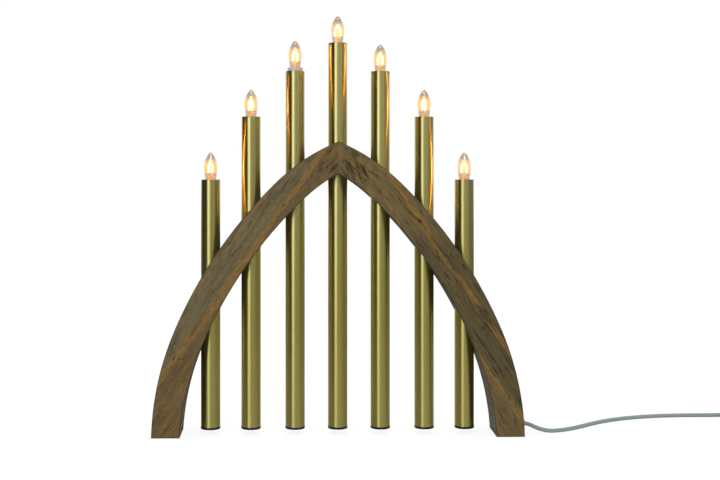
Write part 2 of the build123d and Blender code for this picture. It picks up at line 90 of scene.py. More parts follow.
def linear(colour: str) -> Colour:
    """Turn an sRGB hex colour to linear light.

    Args:
        colour: Six hex digits after a hash sign.

    Returns:
        Red, green, blue and an alpha of one.
    """
    parts = [int(colour[place : place + 2], 16) / 255 for place in (1, 3, 5)]
    light = [part / 12.92 if part <= 0.04045 else ((part + 0.055) / 1.055) ** 2.4 for part in parts]
    return (light[0], light[1], light[2], 1.0)


def per_size(size_mm: float) -> float:
    """Give the texture scale at which one feature is that many millimetres long."""
    return 1 / (size_mm * MM)


def add_node(
    tree: Tree,
    kind: str,
    settings: Mapping[str, object] | None = None,
    inputs: Mapping[str | int, object] | None = None,
) -> Node:
    """Add a shader node with its settings, values and links.

    Args:
        tree: Node tree that gets the node.
        kind: Blender's name for the kind of node.
        settings: Values of the node's own properties.
        inputs: Value for each named or numbered input, or the output that is linked to it.

    Returns:
        The new node.
    """
    node = tree.nodes.new(kind)
    for name, value in (settings or {}).items():
        setattr(node, name, value)
    for name, value in (inputs or {}).items():
        if isinstance(value, Socket):
            tree.links.new(value, node.inputs[name])
        else:
            node.inputs[name].default_value = value
    return node


@dataclass(frozen=True)
class Finish:
    """Surface of one real material, made as one node material."""

    name: str

    def material(self) -> bpy.types.Material:
        """Give the material of this finish, made at its first use.

        Returns:
            The material.
        """
        made = bpy.data.materials.get(self.name)
        if made is None:
            made = bpy.data.materials.new(self.name)
            made.use_nodes = True
            tree = made.node_tree
            tree.nodes.clear()
            shader = add_node(tree, "ShaderNodeBsdfPrincipled", inputs=self.shade(tree))
            add_node(tree, "ShaderNodeOutputMaterial", inputs={"Surface": shader.outputs["BSDF"]})
        return made

    def shade(self, tree: Tree) -> dict[str, object]:
        """Make the patterns of this finish.

        Args:
            tree: Node tree of the material.

        Returns:
            Value of each shader input that it sets, or the output that is linked to it.
        """
        raise NotImplementedError


@dataclass(frozen=True)
class Ramp:
    """Level that goes from low to high as a value goes from start to end."""

    start: float
    end: float
    low: float = 0.0
    high: float = 1.0

    def inputs(self, value: Socket) -> dict[str, object]:
        """Give the ramp over a value as inputs by name."""
        levels = {"To Min": self.low, "To Max": self.high}
        return {"Value": value, "From Min": self.start, "From Max": self.end, **levels}


@dataclass(frozen=True)
class Tone:
    """Colour that is laid over another: its strength, and the values where it starts and is full."""

    colour: str
    part: float
    start: float
    full: float

    def lay(
        self, tree: Tree, under: Socket | Colour, value: Socket, within: Socket | float = 1.0
    ) -> tuple[Socket, Socket]:
        """Lay the tone over a colour.

        Args:
            tree: Node tree of the material.
            under: Colour that it covers.
            value: Value that says where the tone starts and is full.
            within: Mask that bounds it.

        Returns:
            The new colour, and the tone's mask before its strength is applied.
        """
        step = add_node(
            tree,
            "ShaderNodeMapRange",
            SMOOTH_STEP,
            Ramp(self.start, self.full).inputs(value),
        ).outputs["Result"]
        mask = add_node(
            tree, "ShaderNodeMath", {"operation": "MULTIPLY"}, {0: step, 1: within}
        ).outputs["Value"]
        part = add_node(
            tree, "ShaderNodeMath", {"operation": "MULTIPLY"}, {0: mask, 1: self.part}
        ).outputs["Value"]
        mixed = add_node(
            tree,
            "ShaderNodeMix",
            COLOUR_MIX,
            {MIX_FACTOR: part, MIX_UNDER: under, MIX_OVER: linear(self.colour)},
        ).outputs[MIX_RESULT]
        return mixed, mask


@dataclass(frozen=True)
class Figure:
    """Size of one feature of the grain, and the number of finer layers that break it up."""

    length_mm: float
    width_mm: float
    detail: float


@dataclass(frozen=True)
class StainedPine(Finish):
    """Planed pine with a thin grey-brown stain.

    The stain turns the soft sapwood grey-olive and the wood beside it brown, and the resin-rich
    late wood between the two takes less of it, so it shows as long orange streaks along the
    straight grain. Dark smears lie on the sapwood and dark clouds round a knot, and short pores
    and fine fibres run along the grain. The sawn edges are grey with saw marks across them. The
    faces that slant round the corners beside them get painted shade, where light falls off at the
    arris, and the whole surface is dull.
    """

    grain_degrees: float
    seed: float
    heartwood: str
    light_band: Tone
    sapwood: str
    # Height on the plank above which sapwood lies, and where along it that starts and is full.
    sapwood_mm: float
    sapwood_run_mm: tuple[float, float]
    smear: Tone
    streak: str
    # Height of the middle of each streak on the plank, and its width.
    streaks_mm: tuple[tuple[float, float], ...]
    knot: Point
    bands: Figure = Figure(120, 7, 3)
    narrow_bands: Figure = Figure(40, 2.2, 3)
    fibres: Figure = Figure(9, 0.9, 3)
    pores: Figure = Figure(15, 1.5, 1)
    patches: Figure = Figure(70, 7, 4)
    clouds: Figure = Figure(11, 4, 4)
    sways: Figure = Figure(110, 40, 1)
    saw_marks: Figure = Figure(50, 2.4, 3)
    wander: float = 0.35
    sway_mm: float = 8.0
    sapwood_part: float = 0.8
    sapwood_edge_mm: tuple[float, float] = (3.0, 6.0)
    streak_part: float = 0.85
    streak_edge: tuple[float, float] = (0.55, 0.42)
    streak_breaks: Ramp = Ramp(0.15, 0.42)
    dark_grain: Tone = Tone("#40382A", 0.38, 0.46, 0.30)
    pale_vein: Tone = Tone("#8E6D40", 0.22, 0.56, 0.70)
    knot_cloud: Tone = Tone("#302E26", 0.75, 0.44, 0.60)
    knot_reach: Ramp = Ramp(26 * MM, 8 * MM)
    mottle: Tone = Tone("#3C382A", 0.18, 0.50, 0.60)
    fibre_line: Tone = Tone("#3E3426", 0.36, 0.44, 0.60)
    pore_mark: Tone = Tone("#201911", 0.85, 0.69, 0.715)
    saw_groove: str = "#676961"
    saw_ridge: Tone = Tone("#858880", 1.0, 0.40, 0.60)
    edge_slant: Ramp = Ramp(0.9, 0.5, 0.0, 0.6)
    # Painted shade on the faces that slant round the corners, where light falls off at the arris.
    corner: Tone = Tone("#2E2C24", 0.55, 0.95, 0.85)
    corner_shade_slant: Ramp = Ramp(0.45, 0.6)
    roughness: Ramp = Ramp(0.0, 1.0, 0.72, 0.56)
    relief: float = 0.25
    relief_mm: float = 0.4
    specular: float = 0.12

    def shade(self, tree: Tree) -> dict[str, object]:
        """Make the planed faces and the sawn edges, with the relief of the fibres and a dull gloss.

        Args:
            tree: Node tree of the material.

        Returns:
            Inputs of the shader.
        """
        coordinates = add_node(tree, "ShaderNodeTexCoord")
        along = add_node(
            tree,
            "ShaderNodeMapping",
            inputs={
                "Vector": coordinates.outputs["Object"],
                "Rotation": (0, math.radians(self.grain_degrees), 0),
            },
        ).outputs["Vector"]
        bands = self.grain(tree, along, self.bands)
        fibres = self.grain(tree, along, self.fibres)
        colour, _ = self.light_band.lay(tree, linear(self.heartwood), bands)
        colour = self.plane(tree, coordinates, along, fibres, colour)
        colour = self.saw(tree, coordinates, colour)
        relief = add_node(
            tree,
            "ShaderNodeBump",
            inputs={"Strength": self.relief, "Distance": self.relief_mm * MM, "Height": fibres},
        ).outputs["Normal"]
        dull = add_node(
            tree, "ShaderNodeMapRange", inputs=self.roughness.inputs(bands)
        ).outputs["Result"]
        return {
            "Base Color": colour,
            "Roughness": dull,
            "Normal": relief,
            "Specular IOR Level": self.specular,
        }

    def plane(
        self, tree: Tree, coordinates: Node, along: Socket, fibres: Socket, colour: Socket
    ) -> Socket:
        """Lay the sapwood, the streaks and the smaller marks over the heartwood.

        Args:
            tree: Node tree of the material.
            coordinates: Its texture coordinates.
            along: Coordinates whose X follows the grain.
            fibres: Noise of the fibres.
            colour: Colour of the heartwood.

        Returns:
            The colour of the planed wood.
        """
        plank = add_node(tree, "ShaderNodeSeparateXYZ", inputs={0: along})
        sway = self.grain(tree, along, self.sways)
        height = add_node(
            tree,
            "ShaderNodeMath",
            {"operation": "MULTIPLY_ADD"},
            {0: sway, 1: self.sway_mm * MM, 2: plank.outputs["Z"]},
        ).outputs["Value"]
        start, full = (run * MM for run in self.sapwood_run_mm)
        run = add_node(
            tree, "ShaderNodeMapRange", SMOOTH_STEP, Ramp(start, full).inputs(plank.outputs["X"])
        ).outputs["Result"]
        low, high = ((self.sapwood_mm + edge) * MM for edge in self.sapwood_edge_mm)
        sapwood = Tone(self.sapwood, self.sapwood_part, low, high)
        colour, in_sapwood = sapwood.lay(tree, colour, height, run)

        broken = add_node(
            tree, "ShaderNodeMapRange", SMOOTH_STEP, self.streak_breaks.inputs(fibres)
        ).outputs["Result"]
        # The sway lifts the wood by half of its reach on average.
        for middle, width in self.streaks_mm:
            above = add_node(
                tree,
                "ShaderNodeMath",
                {"operation": "SUBTRACT"},
                {0: height, 1: (middle + self.sway_mm / 2) * MM},
            ).outputs["Value"]
            away = add_node(
                tree, "ShaderNodeMath", {"operation": "ABSOLUTE"}, {0: above}
            ).outputs["Value"]
            start, full = (edge * width * MM for edge in self.streak_edge)
            streak = Tone(self.streak, self.streak_part, start, full)
            colour, _ = streak.lay(tree, colour, away, broken)

        from_knot = add_node(
            tree,
            "ShaderNodeVectorMath",
            {"operation": "DISTANCE"},
            {0: coordinates.outputs["Object"], 1: self.knot},
        ).outputs["Value"]
        at_knot = add_node(
            tree, "ShaderNodeMapRange", SMOOTH_STEP, self.knot_reach.inputs(from_knot)
        ).outputs["Result"]
        narrow = self.grain(tree, along, self.narrow_bands)
        patches = self.grain(tree, along, self.patches)
        clouds = self.grain(tree, along, self.clouds)
        pores = self.grain(tree, along, self.pores)
        for tone, value, within in (
            (self.dark_grain, narrow, 1.0),
            (self.pale_vein, narrow, 1.0),
            (self.smear, patches, in_sapwood),
            (self.knot_cloud, clouds, at_knot),
            (self.mottle, clouds, 1.0),
            (self.fibre_line, fibres, 1.0),
            (self.pore_mark, pores, 1.0),
        ):
            colour, _ = tone.lay(tree, colour, value, within)
        return colour

    def saw(self, tree: Tree, coordinates: Node, colour: Socket) -> Socket:
        """Lay the grey sawn edges and the painted shade of the corners over the planed wood.

        Args:
            tree: Node tree of the material.
            coordinates: Its texture coordinates.
            colour: Colour of the planed wood.

        Returns:
            The colour of the whole surface.
        """
        facing = add_node(tree, "ShaderNodeSeparateXYZ", inputs={0: coordinates.outputs["Normal"]})
        front = add_node(
            tree, "ShaderNodeMath", {"operation": "ABSOLUTE"}, {0: facing.outputs["Y"]}
        ).outputs["Value"]
        across = add_node(
            tree,
            "ShaderNodeMapping",
            inputs={"Vector": coordinates.outputs["Object"], "Rotation": (0, 0, math.radians(90))},
        ).outputs["Vector"]
        marks = self.grain(tree, across, self.saw_marks)
        edge, _ = self.saw_ridge.lay(tree, linear(self.saw_groove), marks)
        on_edge = add_node(
            tree, "ShaderNodeMapRange", SMOOTH_STEP, self.edge_slant.inputs(front)
        ).outputs["Result"]
        colour = add_node(
            tree,
            "ShaderNodeMix",
            COLOUR_MIX,
            {MIX_FACTOR: on_edge, MIX_UNDER: colour, MIX_OVER: edge},
        ).outputs[MIX_RESULT]
        # Painted shade: faces that slant away from the front at the corners are darkened.
        corner_shade_zone = add_node(
            tree, "ShaderNodeMapRange", SMOOTH_STEP, self.corner_shade_slant.inputs(front)
        ).outputs["Result"]
        colour, _ = self.corner.lay(tree, colour, front, corner_shade_zone)
        return colour

    def grain(self, tree: Tree, along: Socket, figure: Figure) -> Socket:
        """Add a noise that is drawn out along the grain.

        Args:
            tree: Node tree of the material.
            along: Coordinates whose X follows the grain.
            figure: Size and detail of its features.

        Returns:
            The noise, from 0 to 1.
        """
        length, width = per_size(figure.length_mm), per_size(figure.width_mm)
        drawn = add_node(
            tree,
            "ShaderNodeMapping",
            inputs={
                "Vector": along,
                "Location": (self.seed, self.seed, self.seed),
                "Scale": (length, width, width),
            },
        ).outputs["Vector"]
        return add_node(
            tree,
            "ShaderNodeTexNoise",
            inputs={
                "Vector": drawn,
                "Scale": 1.0,
                "Detail": figure.detail,
                "Distortion": self.wander,
            },
        ).outputs["Fac"]


@dataclass(frozen=True)
class BrushedBrass(Finish):
    """Drawn brass tube, brushed round its length and lacquered.

    The scratches run round the tube, so its highlights are narrow across it and drawn out up and
    down it. They are too fine to show, so they are drawn coarser than they are.
    """

    colour: str = "#DFD06D"
    roughness: float = 0.31
    uneven: float = 0.04
    anisotropy: float = 1.0
    scratch_turn: float = 0.25
    scratch_mm: float = 0.8
    scratch_length_mm: float = 30.0
    scratch_detail: float = 3.0
    lacquer_roughness: float = 0.2
    lacquer_ior: float = 1.7

    def shade(self, tree: Tree) -> dict[str, object]:
        """Make the metal, the way its scratches run, their uneven gloss and the lacquer.

        Args:
            tree: Node tree of the material.

        Returns:
            Inputs of the shader.
        """
        place = add_node(tree, "ShaderNodeTexCoord").outputs["Object"]
        around = per_size(self.scratch_length_mm)
        drawn = add_node(
            tree,
            "ShaderNodeMapping",
            inputs={"Vector": place, "Scale": (around, around, per_size(self.scratch_mm))},
        ).outputs["Vector"]
        scratches = add_node(
            tree,
            "ShaderNodeTexNoise",
            inputs={"Vector": drawn, "Scale": 1.0, "Detail": self.scratch_detail},
        ).outputs["Fac"]
        gloss = Ramp(0.0, 1.0, self.roughness - self.uneven, self.roughness + self.uneven)
        rough = add_node(
            tree, "ShaderNodeMapRange", inputs=gloss.inputs(scratches)
        ).outputs["Result"]
        tangent = add_node(
            tree, "ShaderNodeTangent", {"direction_type": "RADIAL", "axis": "Z"}
        ).outputs["Tangent"]
        return {
            "Base Color": linear(self.colour),
            "Metallic": 1.0,
            "Anisotropic": self.anisotropy,
            "Anisotropic Rotation": self.scratch_turn,
            "Coat Weight": 1.0,
            "Coat Roughness": self.lacquer_roughness,
            "Coat IOR": self.lacquer_ior,
            "Roughness": rough,
            "Tangent": tangent,
        }


@dataclass(frozen=True)
class PlainMetal(Finish):
    """Pressed, drawn or plated metal part, whose gloss is uneven from handling."""

    colour: str
    roughness: float
    uneven: float = 0.3
    mark_mm: float = 3.0
    mark_detail: float = 4.0

    def shade(self, tree: Tree) -> dict[str, object]:
        """Make the metal and the uneven gloss that handling leaves.

        Args:
            tree: Node tree of the material.

        Returns:
            Inputs of the shader.
        """
        place = add_node(tree, "ShaderNodeTexCoord").outputs["Object"]
        marks = add_node(
            tree,
            "ShaderNodeTexNoise",
            inputs={"Vector": place, "Scale": per_size(self.mark_mm), "Detail": self.mark_detail},
        ).outputs["Fac"]
        low, high = self.roughness * (1 - self.uneven), self.roughness * (1 + self.uneven)
        rough = add_node(
            tree, "ShaderNodeMapRange", inputs=Ramp(0.0, 1.0, low, high).inputs(marks)
        ).outputs["Result"]
        return {
            "Base Color": linear(self.colour),
            "Metallic": 1.0,
            "Roughness": rough,
        }


@dataclass(frozen=True)
class EvenSurface(Finish):
    """Moulded or extruded plastic, or another even material such as turned beech.

    Its colour is a little cloudy, and its tool leaves a fine grain that softens the gloss.
    """

    colour: str
    tint: str
    roughness: float
    grain_mm: float = 0.7
    grain_detail: float = 2.0
    cloud_mm: float = 14.0
    cloud_detail: float = 3.0
    relief: float = 0.12
    relief_mm: float = 0.1

    def shade(self, tree: Tree) -> dict[str, object]:
        """Make a slightly uneven colour and the relief of the grain.

        Args:
            tree: Node tree of the material.

        Returns:
            Inputs of the shader.
        """
        place = add_node(tree, "ShaderNodeTexCoord").outputs["Object"]
        cloud, grain = (
            add_node(
                tree,
                "ShaderNodeTexNoise",
                inputs={"Vector": place, "Scale": per_size(size_mm), "Detail": detail},
            ).outputs["Fac"]
            for size_mm, detail in (
                (self.cloud_mm, self.cloud_detail),
                (self.grain_mm, self.grain_detail),
            )
        )
        colour = add_node(
            tree,
            "ShaderNodeMix",
            COLOUR_MIX,
            {MIX_FACTOR: cloud, MIX_UNDER: linear(self.colour), MIX_OVER: linear(self.tint)},
        ).outputs[MIX_RESULT]
        relief = add_node(
            tree,
            "ShaderNodeBump",
            inputs={"Strength": self.relief, "Distance": self.relief_mm * MM, "Height": grain},
        ).outputs["Normal"]
        return {
            "Base Color": colour,
            "Normal": relief,
            "Roughness": self.roughness,
        }


@dataclass(frozen=True)
class LampGlass(Finish):
    """Thin blown soda-lime glass round a lit filament.

    The light of the filament scatters in the glass, so it is warm round the filament and at its
    rim, and clear and cool at the neck and at the tip above the filament.
    """

    base_z: float
    height_mm: float
    belly: str = "#FFE3BC"
    neck: Tone = Tone("#D1CBC3", 1.0, 0.29, 0.20)
    tip: Tone = Tone("#D2CFC9", 1.0, 0.55, 0.85)
    rim: Tone = Tone("#E6CDB0", 0.8, 0.45, 0.95)
    slant_blend: float = 0.5
    glow_colour: str = "#FFB870"
    glow: float = 0.07

    def shade(self, tree: Tree) -> dict[str, object]:
        """Make clear glass with a warm belly and rim, and a cool neck and tip.

        Args:
            tree: Node tree of the material.

        Returns:
            Inputs of the shader.
        """
        place = add_node(tree, "ShaderNodeTexCoord").outputs["Object"]
        parts = add_node(tree, "ShaderNodeSeparateXYZ", inputs={0: place})
        whole = Ramp(self.base_z, self.base_z + self.height_mm * MM)
        height = add_node(
            tree, "ShaderNodeMapRange", inputs=whole.inputs(parts.outputs["Z"])
        ).outputs["Result"]
        slant = add_node(
            tree, "ShaderNodeLayerWeight", inputs={"Blend": self.slant_blend}
        ).outputs["Facing"]
        colour, _ = self.neck.lay(tree, linear(self.belly), height)
        colour, at_tip = self.tip.lay(tree, colour, height)
        colour, _ = self.rim.lay(tree, colour, slant)
        glow = add_node(
            tree, "ShaderNodeMapRange", inputs=Ramp(0.0, 1.0, self.glow, 0.0).inputs(at_tip)
        ).outputs["Result"]
        return {
            "Base Color": colour,
            "Emission Strength": glow,
            "Emission Color": linear(self.glow_colour),
            "Roughness": 0.0,
            "IOR": GLASS_IOR,
            "Transmission Weight": 1.0,
        }


@dataclass(frozen=True)
class StemGlass(Finish):
    """Pressed glass stem, which the filament lights to a deep amber."""

    colour: str = "#FFD694"
    roughness: float = 0.15
    clearness: float = 0.5
    glow_colour: str = "#FFB94A"
    glow: float = 0.22

    def shade(self, tree: Tree) -> dict[str, object]:
        """Make amber glass that glows a little.

        Args:
            tree: Node tree of the material, which is not used.

        Returns:
            Inputs of the shader.
        """
        return {
            "Base Color": linear(self.colour),
            "Roughness": self.roughness,
            "IOR": GLASS_IOR,
            "Transmission Weight": self.clearness,
            "Emission Color": linear(self.glow_colour),
            "Emission Strength": self.glow,
        }


@dataclass(frozen=True)
class HotTungsten(Finish):
    """Coiled tungsten wire at working heat, which is yellow-white and hides its own surface."""

    colour: str = "#4A4038"
    roughness: float = 0.5
    glow_colour: str = "#FFEFDC"
    glow: float = 28.0

    def shade(self, tree: Tree) -> dict[str, object]:
        """Make the light that the hot wire gives.

        Args:
            tree: Node tree of the material, which is not used.

        Returns:
            Inputs of the shader.
        """
        return {
            "Base Color": linear(self.colour),
            "Metallic": 1.0,
            "Roughness": self.roughness,
            "Emission Color": linear(self.glow_colour),
            "Emission Strength": self.glow,
        }


# Each arm is a plank of its own, with its own direction of grain and its own stain.
PINE_LEFT = StainedPine(
    "stained_pine_left",
    grain_degrees=55.0,
    seed=3.1,
    heartwood="#75603E",
    light_band=Tone("#876C3E", 1.0, 0.40, 0.66),
    sapwood="#7C7150",
    sapwood_mm=179,
    sapwood_run_mm=(-400, -300),
    smear=Tone("#38382C", 0.3, 0.52, 0.62),
    streak="#96743F",
    streaks_mm=((179, 5.5), (200.5, 2.2)),
    knot=(-0.004, -0.0225, 0.268),
)
PINE_RIGHT = StainedPine(
    "stained_pine_right",
    grain_degrees=-56.0,
    seed=7.4,
    heartwood="#7A6841",
    light_band=Tone("#896F42", 1.0, 0.40, 0.66),
    sapwood="#625738",
    sapwood_mm=166,
    sapwood_run_mm=(-140, -95),
    smear=Tone("#38382C", 0.75, 0.52, 0.62),
    streak="#967234",
    streaks_mm=((163, 1.6), (190, 4.5)),
    knot=(0.021, -0.0225, 0.271),
)
# Bare turned beech is pale and dull.
BEECH = EvenSurface("beech_dowel", "#C79F68", "#A97F4A", 0.6, grain_mm=0.9, cloud_mm=6.0)
TUBE_BRASS = BrushedBrass("brushed_brass_tube")
# Pressed brass is bare and plain, a little paler than the lacquered tubes.
CAP_BRASS = PlainMetal("pressed_brass_cap", "#D9BE7A", 0.25)
CONTACT_BRASS = PlainMetal("spring_brass_contact", "#CFAE66", 0.35)
# Moulded caps, holders and plug and extruded cords have an even satin gloss.
BLACK_CAP = EvenSurface("black_moulded_polyethylene", "#15161A", "#1C1D20", 0.42)
HOLDER_WHITE = EvenSurface("white_moulded_urea", "#D6D2C9", "#C8C2B6", 0.4)
CORD_GREY = EvenSurface("grey_extruded_pvc", "#A4B0AC", "#98A5A1", 0.42)
PLUG_GREY = EvenSurface("grey_moulded_pvc", "#8C9994", "#7F8C87", 0.48, grain_mm=0.9)
TIE_BLACK = EvenSurface("black_moulded_nylon", "#1B1B1D", "#242426", 0.5)
LEAD_WHITE = EvenSurface("white_extruded_pvc", "#DAD8D0", "#CBC8BE", 0.4)
# Fused glass and plated metal are smooth, so they shine.
INSULATOR = EvenSurface("black_fused_glass", "#121214", "#1A1A1E", 0.15)
PIN_NICKEL = PlainMetal("nickel_plated_pin", "#D6D4CE", 0.18)
LEAD_NICKEL = PlainMetal("nickel_lead_wire", "#B9B2A6", 0.3)
STEM = StemGlass("pressed_stem_glass")
TUNGSTEN = HotTungsten("hot_tungsten_coil")


def dress_node(node: str, finish: Finish) -> None:
    """Give a CAD node a finish.

    Args:
        node: Name of the node.
        finish: Finish that it gets.
    """
    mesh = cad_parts[node].data
    mesh.materials.clear()
    mesh.materials.append(finish.material())
    LOG.info("dressed %s in %s", node, finish.name)


def add_piece(
    name: str,
    mesh: bpy.types.Mesh,
    finish: Finish,
    body: str,
    nodes: Sequence[str] = (),
) -> bpy.types.Object:
    """Add a finished piece to the scene.

    Args:
        name: Name of the piece.
        mesh: Its mesh, already in place.
        finish: Its finish.
        body: CAD body that it rides on.
        nodes: CAD nodes that it stands for.

    Returns:
        The new object.
    """
    mesh.materials.clear()
    mesh.materials.append(finish.material())
    piece = bpy.data.objects.new(name, mesh)
    bpy.context.scene.collection.objects.link(piece)
    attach(piece, body)
    if nodes:
        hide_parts(*nodes)
    LOG.info("made %s on %s", name, body)
    return piece


def spun_mesh(
    name: str, profile_mm: Sequence[tuple[float, float]], steps: int, place: Vector
) -> bpy.types.Mesh:
    """Spin a closed profile round an upright axis.

    Args:
        name: Name of the mesh.
        profile_mm: Distance from the axis and height of each corner, in order.
        steps: Number of steps round the axis.
        place: Foot of the axis, in metres.

    Returns:
        The mesh, in its place.
    """
    shape = bmesh.new()
    corners = [shape.verts.new((radius * MM, 0, height * MM)) for radius, height in profile_mm]
    edges = [
        shape.edges.new((corners[index - 1], corners[index]))
        for index in range(len(corners))
        if profile_mm[index - 1][0] > 0 or profile_mm[index][0] > 0
    ]
    bmesh.ops.spin(
        shape,
        geom=[*corners, *edges],
        cent=(0, 0, 0),
        axis=(0, 0, 1),
        angle=math.tau,
        steps=steps,
        use_merge=True,
    )
    bmesh.ops.remove_doubles(shape, verts=shape.verts, dist=MERGE_DISTANCE)
    bmesh.ops.recalc_face_normals(shape, faces=shape.faces)
    bmesh.ops.translate(shape, verts=shape.verts, vec=place)
    for face in shape.faces:
        face.smooth = True
    mesh = bpy.data.meshes.new(name)
    shape.to_mesh(mesh)
    shape.free()
    mesh.set_sharp_from_angle(angle=math.radians(SHARP_DEGREES))
    return mesh


def wire_mesh(name: str, points: Sequence[Vector], radius_mm: float, rings: int) -> bpy.types.Mesh:
    """Make a round wire along points.

    Args:
        name: Name of the mesh.
        points: Points that the wire passes, in metres.
        radius_mm: Radius of the wire.
        rings: Bevel resolution of its round section.

    Returns:
        The mesh of the wire.
    """
    curve = bpy.data.curves.new(name, "CURVE")
    curve.dimensions = "3D"
    curve.bevel_depth = radius_mm * MM
    curve.bevel_resolution = rings
    curve.use_fill_caps = True
    spline = curve.splines.new("POLY")
    spline.points.add(len(points) - 1)
    for knot, point in zip(spline.points, points):
        knot.co = (*point, 1)
    holder = bpy.data.objects.new(name, curve)
    mesh = bpy.data.meshes.new_from_object(holder)
    bpy.data.objects.remove(holder)
    bpy.data.curves.remove(curve)
    for face in mesh.polygons:
        face.use_smooth = True
    return mesh


def sight_rays(tree: Tree) -> tuple[Node, Socket]:
    """Tell the rays that the viewer looks along from those that carry light and reflections.

    Args:
        tree: Node tree of the world or the floor.

    Returns:
        The node of the ray's path, and a value of 1 for rays from the camera and through glass.
    """
    path = add_node(tree, "ShaderNodeLightPath")
    seen = add_node(
        tree,
        "ShaderNodeMath",
        {"operation": "MAXIMUM"},
        {0: path.outputs["Is Camera Ray"], 1: path.outputs["Is Transmission Ray"]},
    ).outputs["Value"]
    return path, seen


@dataclass
class Studio:
    """Camera, lamps, floor and surroundings of the photograph."""

    camera_place: Point = (-0.0448, -1.2269, 0.2757)
    camera_turn: float = -1.115
    focal_px: float = 1203.3
    axis_px: tuple[float, float] = (317.2, 162.6)
    image_px: tuple[int, int] = (720, 480)
    sensor_mm: float = 36.0
    softbox_place: Point = (-0.68, -1.34, 0.45)
    softbox_size: tuple[float, float] = (0.75, 2.0)
    softbox_watts: float = 5.8
    fill_place: Point = (0.9, -1.2, 1.3)
    fill_size: tuple[float, float] = (0.8, 0.8)
    fill_watts: float = 2.0
    lamp_colour: Point = (0.94, 0.98, 1.14)
    ambient: Ramp = Ramp(0.0, 1.0, 0.75, 0.20)
    room_colour: Colour = (0.96, 1.0, 1.06, 1.0)
    room_level: Ramp = Ramp(-0.25, 0.40, 0.95, 0.42)
    opening_way: Point = (0.276, -0.961, 0.0)
    opening_edge: Ramp = Ramp(0.50, 0.68, 0.02, 1.0)
    back_edge: Ramp = Ramp(0.35, 0.88)
    side_edge: Ramp = Ramp(0.65, 0.9, 0.0, 0.34)
    floor_half: float = 6.0
    floor_tone: str = "#DADADA"
    # Painted pool of light on the floor as reflections show it: bright near the object, dark far
    # off.
    floor_light_pool: Ramp = Ramp(0.15, 0.90, 1.0, 0.09)
    floor_shaded: str = "#898989"
    floor_white: float = 0.85

    def set_camera(self) -> None:
        """Place the camera where the photograph was taken from."""
        width, height = self.image_px
        lens = bpy.data.cameras.new("camera")
        lens.sensor_width = self.sensor_mm
        lens.lens = self.focal_px / width * self.sensor_mm
        lens.shift_x = (width / 2 - self.axis_px[0]) / width
        lens.shift_y = (self.axis_px[1] - height / 2) / width
        camera = bpy.data.objects.new("camera", lens)
        camera.location = self.camera_place
        camera.rotation_euler = (math.radians(90), 0, math.radians(self.camera_turn))
        bpy.context.scene.collection.objects.link(camera)
        bpy.context.scene.camera = camera
        bpy.context.scene.view_settings.view_transform = "Standard"

    def mirrored_level(self, tree: Tree) -> Socket:
        """Set how bright the room is in each direction, as the brass and glass mirror it.

        Args:
            tree: Node tree of the world.

        Returns:
            The brightness: an opening in front, a white background and a paler right side.
        """
        way = add_node(tree, "ShaderNodeTexCoord").outputs["Generated"]
        parts = add_node(tree, "ShaderNodeSeparateXYZ", inputs={0: way})
        ahead = add_node(
            tree, "ShaderNodeVectorMath", {"operation": "DOT_PRODUCT"}, {0: way, 1: self.opening_way}
        ).outputs["Value"]
        room = add_node(
            tree, "ShaderNodeMapRange", inputs=self.room_level.inputs(parts.outputs["X"])
        ).outputs["Result"]
        opening = add_node(
            tree, "ShaderNodeMapRange", SMOOTH_STEP, self.opening_edge.inputs(ahead)
        ).outputs["Result"]
        front = add_node(
            tree, "ShaderNodeMath", {"operation": "MULTIPLY"}, {0: room, 1: opening}
        ).outputs["Value"]
        back = add_node(
            tree, "ShaderNodeMapRange", SMOOTH_STEP, self.back_edge.inputs(parts.outputs["Y"])
        ).outputs["Result"]
        side = add_node(
            tree, "ShaderNodeMapRange", SMOOTH_STEP, self.side_edge.inputs(parts.outputs["X"])
        ).outputs["Result"]
        around = add_node(
            tree, "ShaderNodeMath", {"operation": "MAXIMUM"}, {0: back, 1: side}
        ).outputs["Value"]
        return add_node(
            tree, "ShaderNodeMath", {"operation": "MAXIMUM"}, {0: front, 1: around}
        ).outputs["Value"]

    def set_world(self) -> None:
        """Surround the object with a white background and a dim studio in front of it."""
        world = bpy.data.worlds.new("studio")
        bpy.context.scene.world = world
        world.use_nodes = True
        tree = world.node_tree
        tree.nodes.clear()
        path, seen = sight_rays(tree)
        # What the brass mirrors is lit less, so the dark wood beside a tube stays dark in it.
        ambient = add_node(
            tree, "ShaderNodeMapRange", inputs=self.ambient.inputs(path.outputs["Glossy Depth"])
        ).outputs["Result"]
        plain = add_node(tree, "ShaderNodeBackground", inputs={"Color": WHITE, "Strength": ambient})
        white = add_node(tree, "ShaderNodeBackground", inputs={"Color": WHITE, "Strength": 1.0})
        mirrored = add_node(
            tree,
            "ShaderNodeBackground",
            inputs={"Color": self.room_colour, "Strength": self.mirrored_level(tree)},
        )
        lit = add_node(
            tree,
            "ShaderNodeMixShader",
            inputs={
                0: path.outputs["Is Glossy Ray"],
                1: plain.outputs["Background"],
                2: mirrored.outputs["Background"],
            },
        )
        shown = add_node(
            tree,
            "ShaderNodeMixShader",
            inputs={0: seen, 1: lit.outputs["Shader"], 2: white.outputs["Background"]},
        )
        add_node(tree, "ShaderNodeOutputWorld", inputs={"Surface": shown.outputs["Shader"]})

    def add_lamp(self, name: str, place: Point, size: tuple[float, float], watts: float) -> None:
        """Add a soft rectangular lamp that faces the arch.

        Args:
            name: Name of the lamp.
            place: Its middle, in metres.
            size: Its width and height, in metres.
            watts: Its power.
        """
        lamp = bpy.data.lights.new(name, "AREA")
        lamp.shape = "RECTANGLE"
        lamp.size, lamp.size_y = size
        lamp.energy = watts
        lamp.color = self.lamp_colour
        holder = bpy.data.objects.new(name, lamp)
        holder.location = place
        facing = Vector((0, 0, place[2])) - Vector(place)
        holder.rotation_euler = facing.to_track_quat("-Z", "Y").to_euler()
        bpy.context.scene.collection.objects.link(holder)

